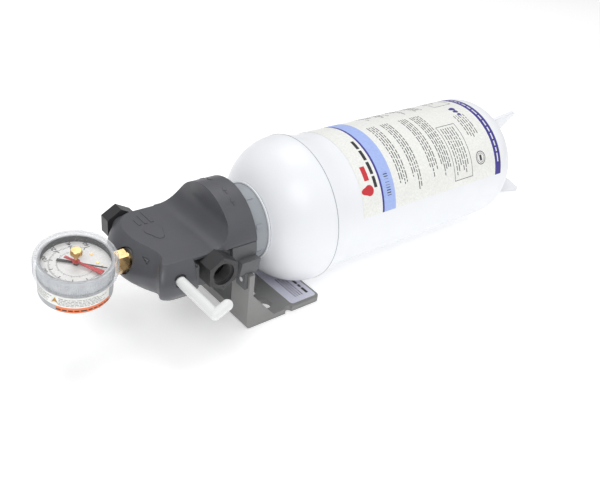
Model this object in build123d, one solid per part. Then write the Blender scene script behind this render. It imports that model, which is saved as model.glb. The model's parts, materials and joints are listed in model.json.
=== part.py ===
from build123d import *
import os
from math import cos, radians, sin, sqrt

# Quick-change water filter with a valved head, lying on its wall bracket.
# +X runs along the cartridge away from the head, -Y is the side with the lever,
# +Z points away from the wall. The origin is on the wall face, midway along the
# row of mounting holes. All lengths are in millimetres.

# ---- water axis shared by the head and the cartridge --------------------------------
AXIS_Z = 67.0

# ---- wall bracket --------------------------------------------------------------------
BRACKET_T = 4.6
BRACKET_HALF_W = 46.0
BRACKET_X0 = -28.0
BRACKET_X1 = 47.4
BRACKET_CORNER_R = 5.0
LEG_TOP_Z = 50.0
LEG_INNER_Y = 24.0
SILL_Z = 10.0
CRADLE_R = 40.9
WALL_HOLE_R = 6.25
WALL_HOLE_PITCH = 20.6
NOTCH_X = 14.0
NOTCH_R = 3.2
GUSSET_T = 2.6
BEND_R = 4.0
GUSSET_TOP_Z = 30.6
GUSSET_X1 = -1.3
LABEL_T = 0.25
PLATE_LABEL_X0 = 19.3
PLATE_LABEL_EDGE = 2.0

# ---- head manifold -------------------------------------------------------------------
COLLAR_X0 = -41.0
COLLAR_X1 = -19.0
COLLAR_R = 40.6
BARREL_R = 37.0
BARREL_X0 = -54.0
SOCKET_R = 31.2
SOCKET_X0 = -32.1
LEDGE_X0 = -22.0
BACK_WALL_X0 = -38.2
STEM_BOSS_X0 = -50.2
STEM_BOSS_R = 11.0
STEM_POCKET_X0 = -47.4
INLET_Y = 15.2
FEED_R = 1.8
LEDGE_R = 27.5
SLOT_R = 31.05
PORT_X = -57.2
PORT_FACE_Y = 53.3
PORT_ROOT_Y = 39.6
FAR_PORT_FACE_Y = 50.5
FAR_PORT_ROOT_Y = 40.0
PORT_HEX_R = 13.4
PORT_THREAD_R = 7.6
PORT_MOUTH_R = 8.7
PORT_MOUTH_DEPTH = 1.6
PORT_WEB_T = 0.7
SPIGOT_R = 6.0
SPIGOT_L = 9.0
PASSAGE_R = 3.2
TUBE_R = 8.2
SPINE_HALF_W = 19.6
SPINE_Z0 = 53.0
SPINE_Z1 = 72.4
SPINE_X0 = -99.0
SHOULDER_X0 = -36.0
SHOULDER_Z0 = 51.0
SHOULDER_Z1 = 64.0
SHOULDER_R = 46.0
SHOULDER_INNER_Y = 30.0
TONGUE_T = 3.0
TONGUE_Y0 = 33.0
TONGUE_Y1 = 44.0
TONGUE_Z0 = 38.0
BRACKET_SCREW_Y = 39.0
BRACKET_SCREW_Z = 45.0
SCREW_R = 2.0
SCREW_HEAD_R = 3.8
SCREW_HEAD_T = 2.6
SCREW_SLOT = 1.2

# ---- head cover ----------------------------------------------------------------------
COVER_T = 2.5
COVER_TOP_Z = 78.0
COVER_GAP = 0.3
COVER_END_X = -20.0
SCOOP_R = 16.0
COVER_RIM_Y = 39.2
COVER_SKIRT_X = -74.0
COVER_OPENING_Y0 = 28.0
PORT_RECESS_R = 18.5
GAUGE_HOLE_R = 9.6
# height, half width, -X end, length and bluntness of the rounded -X end at each level
COVER_LEVELS = (
    (78.0, 38.0, -97.0, 18.0, 3.0),
    (75.5, 41.2, -100.2, 22.0, 2.8),
    (69.5, 46.0, -105.8, 30.0, 2.6),
    (62.0, 48.2, -109.6, 39.0, 2.5),
    (54.5, 45.0, -109.6, 44.0, 2.5),
    (47.0, 38.0, -105.0, 44.0, 2.5),
    (39.5, 28.0, -97.0, 38.0, 2.5),
)
COVER_END_STEPS = 2
POST_X = -73.0
POST_Y = 24.6
POST_R = 4.0
POST_Z0 = 58.0
TAB_T = 3.0

# ---- shut-off valve ------------------------------------------------------------------
VALVE_X = -87.5
VALVE_BORE_R = 5.3
PLUG_R = 5.0
PLUG_Y0 = -29.5
PLUG_Y1 = 26.5
PLUG_BORE_R = 2.6
VALVE_TUBE_Y0 = -31.0
GLAND_T = 4.0
GLAND_R = 7.4
LEVER_R = 3.85
LEVER_ROOT_Y = 23.5
LEVER_KNEE_Y = 88.8
LEVER_ARM = 10.0
LEVER_REST_DEG = 26.0
RING_T = 1.6
PLUG_RING_Y = (-26.5, 22.0)

# ---- rotating shut-off sleeve in the socket --------------------------------------------
SLEEVE_R = 20.0
SLEEVE_BORE_R = 9.0
SLEEVE_X0 = -36.5
SLEEVE_X1 = -32.5
SLEEVE_POCKET_X0 = -36.9
DOG_X1 = -26.4
DOG_R0 = 13.2
DOG_R1 = 18.6
DOG_W = 8.0
CLEAR = 0.4

# ---- cartridge -------------------------------------------------------------------------
NECK_R = 27.0
NECK_X0 = -31.6
NECK_BORE_R = 22.0
LUG_R = 30.8
LUG_X0 = -29.5
LUG_X1 = -26.0
LUG_HALF_DEG = 20.0
WEB_X0 = -31.2
WEB_X1 = -28.6
NECK_RING_R = 30.4
NECK_RING_X0 = -17.0
RIM_R = 31.6
RIM_T = 1.4
STEM_R = 8.6
STEM_BORE_R = 5.6
STEM_X0 = -46.8
STEM_RING_X = (-45.6, -42.4)
SEAM_X = 43.0
DOME_R = 61.1
DOME_AXIS = 50.2
SHELL_R = 57.15
SHELL_BLEND_X = 66.0
SHELL_END_X = 252.0
END_DOME_X = 34.0
WALL = 3.0
FIN_TIP_X = 297.0
FIN_TIP_R = 53.0
FIN_ROOT_R = 24.0
FIN_T = 3.0
FIN_ANGLES = (25.0, 115.0, 205.0, 295.0)
LABEL_X0 = 73.0
LABEL_X1 = 248.5
LABEL_START_DEG = 170.0
LABEL_SWEEP_DEG = 250.0
BLOCK_X0 = 62.0
BLOCK_X1 = 238.0
BLOCK_R = 44.0
CORE_R = 14.0
CORE_BORE_R = 11.6
WRAP_T = 1.4
CAP_T = 4.0

# ---- pressure gauge, in its own frame: local Z is the dial normal -----------------------
GAUGE_X = -142.6
GAUGE_Z = 64.0
GAUGE_TILT_DEG = 9.0
LENS_R = 28.3
LENS_TOP = 18.0
LENS_SKIRT_Z = 5.4
CASE_R = 25.4
CASE_T = 1.2
CASE_Z0 = -12.0
CASE_LIP_R = 25.6
CASE_LIP_Z = 15.0
GASKET_R = 25.9
GASKET_Z0 = 3.6
DIAL_R = 24.2
DIAL_Z = 9.9
DIAL_T = 0.5
PANE_Z0 = 16.0
PANE_Z1 = 17.2
NEEDLE_Z = 11.3
NEEDLE_T = 0.5
NEEDLE_DEG = -39.0
SET_Z = 12.5
SET_DEG = -58.0
KNOB_R = 3.8
KNOB_Z0 = 20.2
KNOB_TOP = 23.0
STEM_PIN_R = 1.5
RIVET_R = 1.2
RIVET_POS = ((13.3, 4.8), (13.3, -4.8))
STOP_PIN_POS = (13.9, -9.9)
SOCKET_HEX_R = 8.7
SOCKET_HEX_X0 = 29.5
SOCKET_HEX_X1 = 37.4
SOCKET_THREAD_R = 6.6
SOCKET_END_X = 49.0
BLOCK_HALF = 5.5
SOCKET_NECK_R = 3.3
PLATE_Z = (-3.4, 6.6)
PLATE_T = 1.0
PILLAR_R = 1.1
PILLAR_POS = ((6.2, 5.0), (6.2, -5.0), (-10.5, 5.3), (-10.5, -5.3))
PINION_R = 1.7
SECTOR_PIVOT = (-10.5, 0.0)
SECTOR_R = 8.4
SECTOR_START_DEG = -61.0
SECTOR_SWEEP_DEG = 68.0
SECTOR_Z = 2.0
SECTOR_TAIL = 6.0
TUBE_MEAN_R = 19.0
TUBE_W = 3.0
TUBE_H = 7.0
TUBE_START_DEG = -230.0
TUBE_SWEEP_DEG = 212.0
LINK_L = 12.0
LINK_Z = 3.9
BAND_Z0 = -10.8
BAND_Z1 = -6.4
LABEL_BAND_Z1 = 2.8


def box(x0, x1, y0, y1, z0, z1):
    """Axis-aligned block between two opposite corners, in either order."""
    size = Box(abs(x1 - x0), abs(y1 - y0), abs(z1 - z0))
    return Pos((x0 + x1) / 2, (y0 + y1) / 2, (z0 + z1) / 2) * size


def cyl_x(radius, x0, x1, y=0.0, z=AXIS_Z):
    """Cylinder along X."""
    rod = Cylinder(radius, x1 - x0)
    return Pos((x0 + x1) / 2, y, z) * Rot(0, 90, 0) * rod


def cyl_y(radius, y0, y1, x, z=AXIS_Z):
    """Cylinder along Y, its ends in either order."""
    rod = Cylinder(radius, abs(y1 - y0))
    return Pos(x, (y0 + y1) / 2, z) * Rot(90, 0, 0) * rod


def cyl_z(radius, z0, z1, x=0.0, y=0.0):
    """Cylinder along Z."""
    return Pos(x, y, (z0 + z1) / 2) * Cylinder(radius, z1 - z0)


def hex_y(corner_r, y0, y1, x):
    """Hexagonal prism along Y on the water axis, one corner up."""
    sketch = Plane.XZ * RegularPolygon(corner_r, 6, rotation=30)
    return Pos(x, y1, AXIS_Z) * extrude(sketch, y1 - y0)


def sector(r_in, r_out, start_deg, sweep_deg, z0, z1):
    """Ring segment about the local Z axis."""
    start = radians(start_deg)
    middle = radians(start_deg + sweep_deg / 2)
    end = radians(start_deg + sweep_deg)

    def at(radius, angle):
        return (radius * cos(angle), radius * sin(angle))

    edges = [
        ThreePointArc(at(r_out, start), at(r_out, middle), at(r_out, end)),
        Line(at(r_out, end), at(r_in, end)),
        ThreePointArc(at(r_in, end), at(r_in, middle), at(r_in, start)),
        Line(at(r_in, start), at(r_out, start)),
    ]
    face = make_face(Wire(edges).edges())
    return Pos(0, 0, z0) * extrude(face, z1 - z0)


def sector_x(r_in, r_out, start_deg, sweep_deg, x0, x1):
    """Ring segment about the water axis, angles from +Y towards +Z."""
    turn = Plane(origin=(0, 0, AXIS_Z), x_dir=(0, 1, 0), z_dir=(1, 0, 0))
    return turn.location * sector(r_in, r_out, start_deg, sweep_deg, x0, x1)


def turned(points_and_edges):
    """Solid of revolution about the water axis from edges given as (x, radius)."""
    face = make_face(Wire(points_and_edges).edges())
    lathe = Plane(origin=(0, 0, AXIS_Z), x_dir=(1, 0, 0), z_dir=(0, -1, 0))
    return revolve(lathe * face, Axis((0, 0, AXIS_Z), (1, 0, 0)))


def polygon_edges(points):
    """Closed chain of straight edges."""
    return Polyline(*points, close=True).edges()


# ---- bracket ---------------------------------------------------------------------------
def wall_hole_positions():
    return [(index - 1.5) * WALL_HOLE_PITCH for index in range(4)]


def make_wall_bracket():
    length = BRACKET_X1 - BRACKET_X0
    centre_x = (BRACKET_X0 + BRACKET_X1) / 2
    plate = Pos(centre_x, 0, BRACKET_T / 2) * Box(length, 2 * BRACKET_HALF_W, BRACKET_T)
    far_corners = plate.edges().filter_by(Axis.Z).sort_by(Axis.X)[-2:]
    plate = fillet(far_corners, BRACKET_CORNER_R)
    upright_x1 = BRACKET_X0 + BRACKET_T
    upright = box(BRACKET_X0, upright_x1, -BRACKET_HALF_W, BRACKET_HALF_W, 0, LEG_TOP_Z)
    upright -= cyl_x(CRADLE_R, BRACKET_X0 - 1, upright_x1 + 1)
    upright -= box(BRACKET_X0 - 1, upright_x1 + 1, -LEG_INNER_Y, LEG_INNER_Y, SILL_Z, LEG_TOP_Z)
    body = plate + upright
    for side in (-1, 1):
        outer = side * BRACKET_HALF_W
        inner = side * (BRACKET_HALF_W - GUSSET_T)
        profile = ((BRACKET_X0 + 1, 1), (BRACKET_X0 + 1, GUSSET_TOP_Z), (upright_x1, GUSSET_TOP_Z),
                   (GUSSET_X1, BRACKET_T), (GUSSET_X1, 1))
        web = extrude(Plane.XZ * make_face(polygon_edges(profile)), GUSSET_T)
        body += Pos(0, max(outer, inner), 0) * web
        body -= cyl_z(NOTCH_R, -1, BRACKET_T + 1, NOTCH_X, outer)
        screw_y = side * BRACKET_SCREW_Y
        body -= cyl_x(SCREW_R + 0.2, BRACKET_X0 - 1, upright_x1 + 1, screw_y, BRACKET_SCREW_Z)
    for y in wall_hole_positions():
        body -= cyl_z(WALL_HOLE_R, -1, BRACKET_T + 1, 0, y)
    bend = body.edges().filter_by(Axis.Y).group_by(Axis.Z)[0].sort_by(Axis.X)[0]
    return fillet(bend, BEND_R)


def make_bracket_label():
    x1 = BRACKET_X1 - PLATE_LABEL_EDGE
    half_w = BRACKET_HALF_W - PLATE_LABEL_EDGE - 1
    sheet = Rectangle(x1 - PLATE_LABEL_X0, 2 * half_w)
    sheet = fillet(sheet.vertices(), BRACKET_CORNER_R - PLATE_LABEL_EDGE)
    return Pos((x1 + PLATE_LABEL_X0) / 2, 0, BRACKET_T) * extrude(sheet, LABEL_T)


def make_bracket_screws():
    screws = []
    face_x = BRACKET_X0 + BRACKET_T
    z = BRACKET_SCREW_Z
    for side in (-1, 1):
        y = side * BRACKET_SCREW_Y
        shank = cyl_x(SCREW_R, BRACKET_X0 - TONGUE_T, face_x, y, z)
        head = cyl_x(SCREW_HEAD_R, face_x, face_x + SCREW_HEAD_T, y, z)
        slot = box(face_x + SCREW_HEAD_T - SCREW_SLOT, face_x + SCREW_HEAD_T + 1, y - 0.5, y + 0.5,
                   z - SCREW_HEAD_R, z + SCREW_HEAD_R)
        screws.append(shank + head - slot)
    return Compound(children=screws)


# ---- head ------------------------------------------------------------------------------
def mounting_shoulders():
    """Shoulder over each leg of the bracket, with a tongue behind the leg for its screw."""
    solids = []
    for side in (-1, 1):
        block = box(SHOULDER_X0, COLLAR_X1 - 0.5, side * SHOULDER_INNER_Y, side * SHOULDER_R,
                    SHOULDER_Z0, SHOULDER_Z1)
        solids.append(block & cyl_x(SHOULDER_R, SHOULDER_X0 - 1, COLLAR_X1))
        solids.append(box(BRACKET_X0 - TONGUE_T, BRACKET_X0, side * TONGUE_Y0, side * TONGUE_Y1,
                          TONGUE_Z0, SHOULDER_Z0 + 1))
    return solids


def cover_tabs():
    """Two tabs beside the spine, under the cover's posts."""
    tabs = []
    for side in (-1, 1):
        inner = side * (SPINE_HALF_W - 1)
        outer = side * (POST_Y + POST_R)
        tabs.append(box(POST_X - POST_R, POST_X + POST_R, inner, outer, POST_Z0 - TAB_T, POST_Z0))
    return tabs


def manifold_screw_holes():
    holes = []
    for side in (-1, 1):
        y = side * BRACKET_SCREW_Y
        holes.append(cyl_x(SCREW_R + 0.02, BRACKET_X0 - TONGUE_T - 1, BRACKET_X0 + 1, y, BRACKET_SCREW_Z))
        holes.append(cyl_z(SCREW_R + 0.2, POST_Z0 - TAB_T - 1, POST_Z0 + 1, POST_X, side * POST_Y))
    return holes


def socket_space():
    """Cartridge socket: bayonet ledge with two entry slots, sleeve pocket and stem pocket."""
    slot_half = LUG_HALF_DEG + 3
    space = [
        cyl_x(SOCKET_R, SOCKET_X0, LEDGE_X0),
        cyl_x(LEDGE_R, LEDGE_X0 - 1, COLLAR_X1 + 1),
        cyl_x(SLEEVE_R + CLEAR, SLEEVE_POCKET_X0, SOCKET_X0 + 1),
        cyl_x(SLEEVE_BORE_R, STEM_POCKET_X0, SLEEVE_POCKET_X0 + 1),
    ]
    for centre in (90, 270):
        start = centre - slot_half
        space.append(sector_x(LEDGE_R - 2, SLOT_R, start, 2 * slot_half, LEDGE_X0 - 1, COLLAR_X1 + 1))
    return space


def waterways():
    """Outlet from the stem pocket to the near port; inlet from the far port through the valve
    to the sleeve; feed from the valve bore to the gauge."""
    return [
        cyl_y(PASSAGE_R, -PORT_ROOT_Y, 0, PORT_X),
        cyl_x(PASSAGE_R, PORT_X, STEM_POCKET_X0 + 1),
        cyl_y(SPIGOT_R, -PORT_ROOT_Y - 1, SPIGOT_L - PORT_ROOT_Y, PORT_X),
        cyl_y(VALVE_BORE_R, VALVE_TUBE_Y0 - 1, FAR_PORT_ROOT_Y + 1, VALVE_X),
        cyl_y(SPIGOT_R, FAR_PORT_ROOT_Y + 1, FAR_PORT_ROOT_Y - SPIGOT_L, VALVE_X),
        cyl_x(PASSAGE_R, VALVE_X, SLEEVE_POCKET_X0 + 1, INLET_Y),
        cyl_x(SOCKET_THREAD_R, SPINE_X0 - 5, SPINE_X0 + 6, 0, GAUGE_Z),
        cyl_x(FEED_R, SPINE_X0 + 5, VALVE_X - 4, 0, GAUGE_Z),
    ]


def make_head_manifold():
    under_cover = COVER_TOP_Z - COVER_T - COVER_GAP
    body = cyl_x(BARREL_R, BARREL_X0, COLLAR_X1 - 0.5)
    body -= box(BARREL_X0 - 1, BACK_WALL_X0, -60, 60, under_cover, 120)
    skirt = cyl_x(COLLAR_R - 0.2, COLLAR_X0, COLLAR_X1 - 0.5)
    solids = [
        skirt - box(COLLAR_X0 - 1, COLLAR_X1 + 1, -60, 60, under_cover, 120),
        cyl_x(STEM_BOSS_R, STEM_BOSS_X0, BACK_WALL_X0 + 1),
        box(SPINE_X0, BARREL_X0 + 1, -SPINE_HALF_W, SPINE_HALF_W, SPINE_Z0, SPINE_Z1),
        cyl_y(TUBE_R, -PORT_ROOT_Y, TUBE_R, PORT_X),
        cyl_y(TUBE_R, VALVE_TUBE_Y0, FAR_PORT_ROOT_Y, VALVE_X),
        cyl_x(SOCKET_THREAD_R + 2.2, SPINE_X0 - 4, SPINE_X0 + 6, 0, GAUGE_Z),
    ]
    for solid in solids + mounting_shoulders() + cover_tabs():
        body = body.fuse(solid)
    for space in socket_space() + waterways() + manifold_screw_holes():
        body = body.cut(space)
    return body


def make_port_fitting(side, x, root_y, face_y):
    """Hexagonal port with a pipe thread bore; side is -1 or +1 along Y."""
    face = side * face_y
    root = side * root_y
    end = side * (root_y - SPIGOT_L)
    body = hex_y(PORT_HEX_R, min(root, face), max(root, face), x)
    body += cyl_y(SPIGOT_R - 0.02, root, end, x)
    body -= cyl_y(PORT_MOUTH_R, face + side, face - side * PORT_MOUTH_DEPTH, x)
    body -= cyl_y(PORT_THREAD_R, face, root + side * PORT_WEB_T, x)
    body -= cyl_y(PASSAGE_R + 0.8, face, end - side, x)
    return body


def cover_outline(half_w, x0, end_length, bluntness):
    """Plan outline of the cover at one level, its -X end a blunt half oval."""
    power = 2 / bluntness
    bow = []
    for step in range(-COVER_END_STEPS, COVER_END_STEPS + 1):
        angle = radians(90 * abs(step) / COVER_END_STEPS)
        side = -1 if step > 0 else 1
        back = end_length * (1 - max(0, cos(angle)) ** power)
        bow.append((x0 + back, side * half_w * sin(angle) ** power))
    side_x = bow[0][0]
    edges = [
        Spline(*bow, tangents=((-1, 0), (1, 0))),
        Line((side_x, -half_w), (COVER_END_X, -half_w)),
        Line((COVER_END_X, -half_w), (COVER_END_X, half_w)),
        Line((COVER_END_X, half_w), (side_x, half_w)),
    ]
    return make_face(Wire(edges).edges())


def cover_block(shrink):
    """Smooth block through the cover's levels, pulled in by shrink on every side."""
    faces = []
    for z, half_w, x0, end_length, bluntness in COVER_LEVELS:
        outline = cover_outline(half_w - shrink, x0 + shrink, end_length, bluntness)
        faces.append(Pos(0, 0, z) * outline)
    return loft(faces)


def scoop_cutter():
    """Space above the flat of the cover, rounded up to the collar."""
    high = 130
    flat_x1 = COLLAR_X0 - SCOOP_R
    bend = CenterArc((flat_x1, COVER_TOP_Z + SCOOP_R), SCOOP_R, 270, 90)
    edges = [
        Line((-130, COVER_TOP_Z), (flat_x1, COVER_TOP_Z)),
        bend,
        Line((COLLAR_X0, COVER_TOP_Z + SCOOP_R), (COLLAR_X0, high)),
        Line((COLLAR_X0, high), (-130, high)),
        Line((-130, high), (-130, COVER_TOP_Z)),
    ]
    face = make_face(Wire(edges).edges())
    return extrude(Plane.XZ * face, 70, both=True)


def far_port_opening():
    """Stepped hole in the far side of the cover: round the valve tube, then round the hexagon."""
    tube_space = cyl_y(TUBE_R + CLEAR, COVER_OPENING_Y0, 60, VALVE_X)
    return tube_space + cyl_y(PORT_HEX_R + CLEAR, FAR_PORT_ROOT_Y - CLEAR, 60, VALVE_X)


def make_head_cover():
    inner_top = COVER_TOP_Z - COVER_T
    back_x = COLLAR_X0 - SCOOP_R - 4
    body = cover_block(0) - box(COLLAR_X0, 0, -60, 60, 0, 120)
    body += cyl_x(COLLAR_R, back_x, COLLAR_X1) - box(back_x - 1, COLLAR_X1 + 1, -60, 60, 0, inner_top)
    body -= scoop_cutter()
    body -= cover_block(COVER_T) & box(-130, COLLAR_X0, -60, 60, 0, inner_top)
    body -= cyl_x(BARREL_R + 0.4, COLLAR_X0 + COVER_T, COLLAR_X1 + 1)
    body -= cyl_x(STEM_BOSS_R + COVER_GAP, STEM_BOSS_X0 - COVER_GAP, COLLAR_X1)
    body -= box(COVER_SKIRT_X, COLLAR_X1 + 1, -60, 60, 0, inner_top)
    body -= cyl_y(PORT_RECESS_R, -60, 0, PORT_X) & box(-90, 0, -60, 60, 0, inner_top)
    body -= cyl_x(GAUGE_HOLE_R, -120, SPINE_X0 - 1, 0, GAUGE_Z)
    body -= cyl_y(LEVER_R + 0.6, -60, 0, VALVE_X)
    body -= far_port_opening()
    relief = SPINE_HALF_W + COVER_GAP
    body -= box(SPINE_X0 - COVER_GAP, COLLAR_X0, -relief, relief, SPINE_Z0 - COVER_GAP, SPINE_Z1 + COVER_GAP)
    for side in (-1, 1):
        body -= box(COVER_SKIRT_X, COLLAR_X1 + 1, side * COVER_RIM_Y, side * 60, 0, COVER_TOP_Z + SCOOP_R)
        post = cyl_z(POST_R, POST_Z0, inner_top + 0.5, POST_X, side * POST_Y)
        body += post - cyl_z(SCREW_R, POST_Z0 - 1, inner_top - 3, POST_X, side * POST_Y)
    return body


def make_cover_screws():
    screws = []
    under = POST_Z0 - TAB_T
    for side in (-1, 1):
        y = side * POST_Y
        shank = cyl_z(SCREW_R - 0.2, under, COVER_TOP_Z - COVER_T - 4, POST_X, y)
        head = cyl_z(SCREW_HEAD_R, under - SCREW_HEAD_T, under, POST_X, y)
        slot = box(POST_X - SCREW_HEAD_R, POST_X + SCREW_HEAD_R, y - 0.5, y + 0.5,
                   under - SCREW_HEAD_T - 1, under - SCREW_HEAD_T + 1.2)
        screws.append(shank + head - slot)
    return Compound(children=screws)


# ---- shut-off valve ----------------------------------------------------------------------
def make_valve_plug():
    body = cyl_y(PLUG_R, PLUG_Y0, PLUG_Y1, VALVE_X)
    body -= cyl_y(LEVER_R, PLUG_Y0 - 1, -LEVER_ROOT_Y, VALVE_X)
    body -= cyl_y(PLUG_BORE_R, INLET_Y - 1, PLUG_Y1 + 1, VALVE_X)
    body -= cyl_x(PASSAGE_R - 0.2, VALVE_X, VALVE_X + 2 * PLUG_R, INLET_Y)
    for y in PLUG_RING_Y:
        groove = cyl_y(PLUG_R + 1, y, y + RING_T, VALVE_X) - cyl_y(PLUG_R - 0.9, y, y + RING_T, VALVE_X)
        body -= groove
    return body


def make_plug_rings():
    rings = []
    for y in PLUG_RING_Y:
        ring = cyl_y(PLUG_R + 0.15, y, y + RING_T, VALVE_X)
        rings.append(ring - cyl_y(PLUG_R - 0.9, y - 1, y + RING_T + 1, VALVE_X))
    return Compound(children=rings)


def make_valve_lever():
    rod = cyl_y(LEVER_R, -LEVER_KNEE_Y, -LEVER_ROOT_Y, VALVE_X)
    knee = Pos(VALVE_X, -LEVER_KNEE_Y, AXIS_Z) * Sphere(LEVER_R)
    arm = Pos(0, 0, LEVER_ARM / 2) * Cylinder(LEVER_R, LEVER_ARM)
    tip = Pos(0, 0, LEVER_ARM) * Sphere(LEVER_R)
    place = Pos(VALVE_X, -LEVER_KNEE_Y, AXIS_Z) * Rot(0, 90 - LEVER_REST_DEG, 0)
    return rod + knee + place * (arm + tip)


def make_valve_gland():
    """Nut that holds the plug in its bore, round the lever's rod."""
    nut = hex_y(GLAND_R, VALVE_TUBE_Y0 - GLAND_T, VALVE_TUBE_Y0, VALVE_X)
    return nut - cyl_y(LEVER_R + CLEAR, VALVE_TUBE_Y0 - GLAND_T - 1, VALVE_TUBE_Y0 + 1, VALVE_X)


def make_shutoff_sleeve():
    body = cyl_x(SLEEVE_R, SLEEVE_X0, SLEEVE_X1) - cyl_x(SLEEVE_BORE_R, SLEEVE_X0 - 1, SLEEVE_X1 + 1)
    for side in (-1, 1):
        body += box(SLEEVE_X1 - 1, DOG_X1, side * DOG_R0, side * DOG_R1, AXIS_Z - DOG_W / 2, AXIS_Z + DOG_W / 2)
        body -= cyl_x(PASSAGE_R, SLEEVE_X0 - 1, SLEEVE_X1 + 1, 0, AXIS_Z + side * INLET_Y)
    return body


# ---- cartridge ---------------------------------------------------------------------------
def make_neck_collar():
    body = cyl_x(NECK_R, NECK_X0, 0) + cyl_x(NECK_RING_R, NECK_RING_X0, 0) + cyl_x(RIM_R, -RIM_T, 0.2)
    for centre in (0, 180):
        body += sector_x(NECK_R - 1, LUG_R, centre - LUG_HALF_DEG, 2 * LUG_HALF_DEG, LUG_X0, LUG_X1)
    for index in range(8):
        body += sector_x(NECK_RING_R - 1, NECK_RING_R + 0.5, 22.5 + 45 * index - 3, 6, -12, -6)
    body -= cyl_x(NECK_BORE_R, NECK_X0 - 1, WEB_X0)
    body -= cyl_x(NECK_BORE_R, WEB_X1, 1)
    body -= cyl_x(STEM_R, NECK_X0 - 1, 1)
    for side in (-1, 1):
        half = DOG_W / 2 + CLEAR
        body -= box(WEB_X0 - 1, WEB_X1 + 1, side * (STEM_R - 1), side * (DOG_R1 + CLEAR), AXIS_Z - half, AXIS_Z + half)
    return body


def dome_profile(semi_x, semi_r, x0, x1):
    """Quarter-ellipse stretch centred on the seam plane, as a spline in (x, radius)."""
    points = []
    for step in range(9):
        x = x0 + (x1 - x0) * step / 8
        points.append((x, semi_r * sqrt(1 - ((x - SEAM_X) / semi_x) ** 2)))
    return points


def make_cartridge_dome():
    outer = dome_profile(DOME_AXIS, DOME_R, 0.2, SEAM_X)
    inner = dome_profile(DOME_AXIS - WALL, DOME_R - WALL, 0.2, SEAM_X)
    edges = [
        Spline(*outer),
        Line(outer[-1], (SEAM_X, inner[-1][1])),
        Spline(*inner),
        Line(inner[0], outer[0]),
    ]
    return turned(edges)


def end_dome_point(angle, grow):
    """Point on the rounded far end, grown outwards by grow."""
    return (SHELL_END_X + (END_DOME_X + grow) * sin(angle), (SHELL_R + grow) * cos(angle))


def shell_profile(grow):
    """Outline of the sump shell from its seam to the centre of its far end."""
    seam_r = DOME_R - 0.4 + grow
    side_r = SHELL_R + grow
    end_points = [end_dome_point(radians(angle), grow) for angle in range(0, 91, 15)]
    end_points[-1] = (end_points[-1][0], 0)
    blend = Spline((SEAM_X, seam_r), (SHELL_BLEND_X, side_r), tangents=((1, -0.12), (1, 0)))
    return [
        blend,
        Line((SHELL_BLEND_X, side_r), (SHELL_END_X, side_r)),
        Spline(*end_points, tangents=((1, 0), (0, -1))),
    ]


def make_cartridge_shell():
    axis_r = 0
    outer = shell_profile(0)
    outer.append(Line((SHELL_END_X + END_DOME_X, axis_r), (SEAM_X, axis_r)))
    outer.append(Line((SEAM_X, axis_r), (SEAM_X, DOME_R - 0.4)))
    inner = shell_profile(-WALL)
    inner.append(Line((SHELL_END_X + END_DOME_X - WALL, axis_r), (SEAM_X, axis_r)))
    inner.append(Line((SEAM_X, axis_r), (SEAM_X, DOME_R - 0.4 - WALL)))
    body = turned(outer)
    profile = ((SHELL_END_X + 8, SHELL_R - 8), (FIN_TIP_X - 4, FIN_TIP_R + 2.4), (FIN_TIP_X, FIN_TIP_R),
               (FIN_TIP_X - 8, FIN_ROOT_R), (SHELL_END_X + 8, FIN_ROOT_R))
    web = extrude(Plane.XZ * make_face(polygon_edges(profile)), FIN_T / 2, both=True)
    for angle in FIN_ANGLES:
        body += Pos(0, 0, AXIS_Z) * Rot(angle - 90, 0, 0) * web
    return body - turned(inner)


def make_outlet_stem():
    body = cyl_x(STEM_R - 0.02, STEM_X0, BLOCK_X0 - CAP_T) - cyl_x(STEM_BORE_R, STEM_X0 - 1, BLOCK_X0)
    for x in STEM_RING_X:
        body -= cyl_x(STEM_R + 1, x, x + RING_T) - cyl_x(STEM_R - 1, x, x + RING_T)
    return body


def make_stem_rings():
    rings = []
    for x in STEM_RING_X:
        rings.append(cyl_x(STEM_R + 0.2, x, x + RING_T) - cyl_x(STEM_R - 1, x - 1, x + RING_T + 1))
    return Compound(children=rings)


def make_end_cap(x0, x1, bore_r):
    """Disc glued over an end of the carbon block and its wrap."""
    body = cyl_x(BLOCK_R + WRAP_T + 1, x0, x1)
    if bore_r:
        body -= cyl_x(bore_r, x0 - 1, x1 + 1)
    return body


def make_core_tube():
    body = cyl_x(CORE_R, BLOCK_X0, BLOCK_X1) - cyl_x(CORE_BORE_R, BLOCK_X0 - 1, BLOCK_X1 + 1)
    for row in range(9):
        x = BLOCK_X0 + 16 + 18 * row
        body -= cyl_z(2.4, AXIS_Z - CORE_R - 1, AXIS_Z + CORE_R + 1, x, 0)
        body -= cyl_y(2.4, -CORE_R - 1, CORE_R + 1, x + 9 - 18 * (row == 8))
    return body


def make_tube(r_out, r_in):
    return cyl_x(r_out, BLOCK_X0, BLOCK_X1) - cyl_x(r_in, BLOCK_X0 - 1, BLOCK_X1 + 1)


def make_cartridge_label():
    start = LABEL_START_DEG - LABEL_SWEEP_DEG
    return sector_x(SHELL_R, SHELL_R + LABEL_T, start, LABEL_SWEEP_DEG, LABEL_X0, LABEL_X1)


# ---- gauge, built in its own frame and placed at the end ------------------------------------
def ring(r_out, r_in, z0, z1):
    return cyl_z(r_out, z0, z1) - cyl_z(r_in, z0 - 1, z1 + 1)


def make_gauge_case():
    body = cyl_z(CASE_R, CASE_Z0, LENS_SKIRT_Z - 0.2) + cyl_z(CASE_LIP_R - 0.6, CASE_Z0 + 2, CASE_LIP_Z)
    rim = body.edges().group_by(Axis.Z)[0]
    body = fillet(rim, 1.2)
    body -= cyl_z(CASE_R - CASE_T, CASE_Z0 + CASE_T, CASE_LIP_Z + 1)
    return body - cyl_x(SOCKET_NECK_R + 0.05, 10, 40, 0, 0)


def make_lens_gasket():
    return ring(GASKET_R, CASE_R, GASKET_Z0, LENS_SKIRT_Z)


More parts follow.
